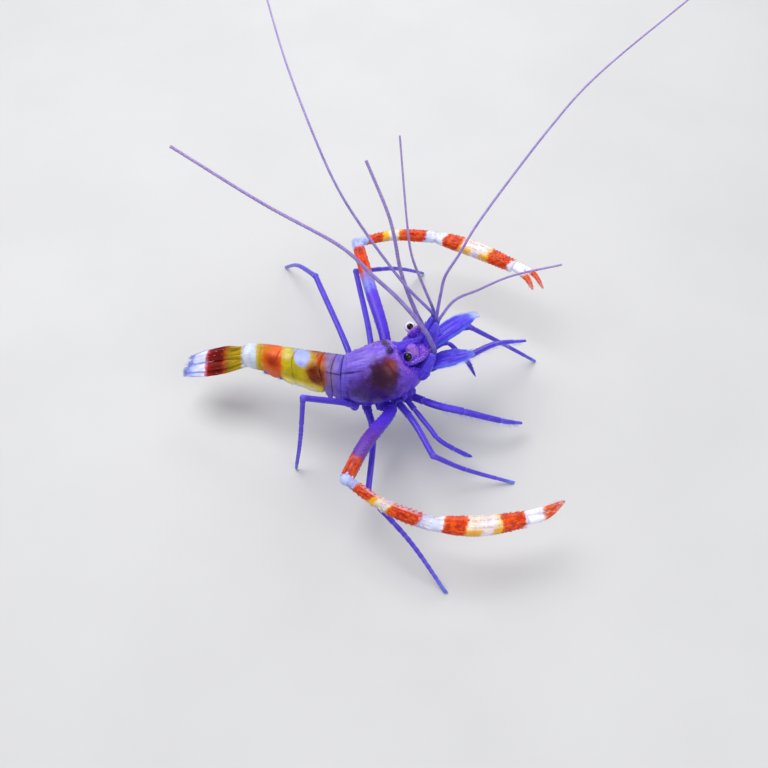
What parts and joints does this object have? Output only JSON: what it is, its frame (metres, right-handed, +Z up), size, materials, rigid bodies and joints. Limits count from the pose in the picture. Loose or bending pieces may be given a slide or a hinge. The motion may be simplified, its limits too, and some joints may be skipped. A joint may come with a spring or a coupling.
{
  "type": "cleaner shrimp",
  "caption": "Life-size still model of a slender boxer shrimp, a cleaner shrimp, standing on thin legs with banded claws held out and long feelers raised.",
  "frame": {"origin": "on the floor under the middle of the whole animal's bounding box", "axes": "+X towards the head, +Y to the animal's left, +Z up"},
  "size_m": [0.0892, 0.0796, 0.0622],
  "materials": {
    "head_shell": "wet satin, translucent lilac shell over dark organs",
    "tail_shell": "wet satin, yellow and red bands",
    "tail_fan": "wet satin, red and white bands",
    "claw_shell": "wet satin, red and white bands",
    "limb": "wet satin, translucent violet",
    "feeler": "satin, pale lilac",
    "feeler_scale": "wet satin, translucent blue violet",
    "eyestalk": "wet satin, pinkish lilac with pale dots",
    "eye": "polished black with a white ring"
  },
  "bodies": {
    "root": {"carapace": "head_shell", "thorax": "head_shell", "somite_1": "tail_shell", "somite_2": "tail_shell", "somite_3": "tail_shell", "somite_4": "tail_shell", "somite_5": "tail_shell", "somite_6": "tail_shell", "telson": "tail_fan", "tail_fin_inner_left": "tail_fan", "tail_fin_outer_left": "tail_fan", "tail_fin_inner_right": "tail_fan", "tail_fin_outer_right": "tail_fan", "eye_left": "eye", "eyestalk_left": "eyestalk", "eye_right": "eye", "eyestalk_right": "eyestalk", "rostrum": "head_shell", "face": "head_shell", "antennule_base_left": "limb", "antenna_base_left": "limb", "antennal_scale_left": "feeler_scale", "antennule_base_right": "limb", "antenna_base_right": "limb", "antennal_scale_right": "feeler_scale", "antennule_upper_near_left": "feeler", "antennule_upper_far_left": "feeler", "antennule_lower_left": "feeler", "antennule_upper_near_right": "feeler", "antennule_upper_far_right": "feeler", "antennule_lower_right": "feeler", "antenna_near_left": "feeler", "antenna_far_left": "feeler", "antenna_near_right": "feeler", "antenna_far_right": "feeler", "mouth_leg_left": "limb", "mouth_leg_right": "limb", "leg_1_left": "limb", "leg_1_right": "limb", "leg_2_lower_left": "limb", "leg_2_upper_left": "limb", "leg_2_lower_right": "limb", "leg_2_upper_right": "limb", "leg_4_lower_left": "limb", "leg_4_upper_left": "limb", "leg_4_lower_right": "limb", "leg_4_upper_right": "limb", "leg_5_lower_left": "limb", "leg_5_upper_left": "limb", "leg_5_lower_right": "limb", "leg_5_upper_right": "limb", "claw_wrist_left": "claw_shell", "claw_thigh_left": "claw_shell", "claw_finger_left": "claw_shell", "claw_palm_left": "claw_shell", "claw_wrist_right": "claw_shell", "claw_thigh_right": "claw_shell", "claw_finger_right": "claw_shell", "claw_palm_right": "claw_shell"}
  },
  "joints": []
}
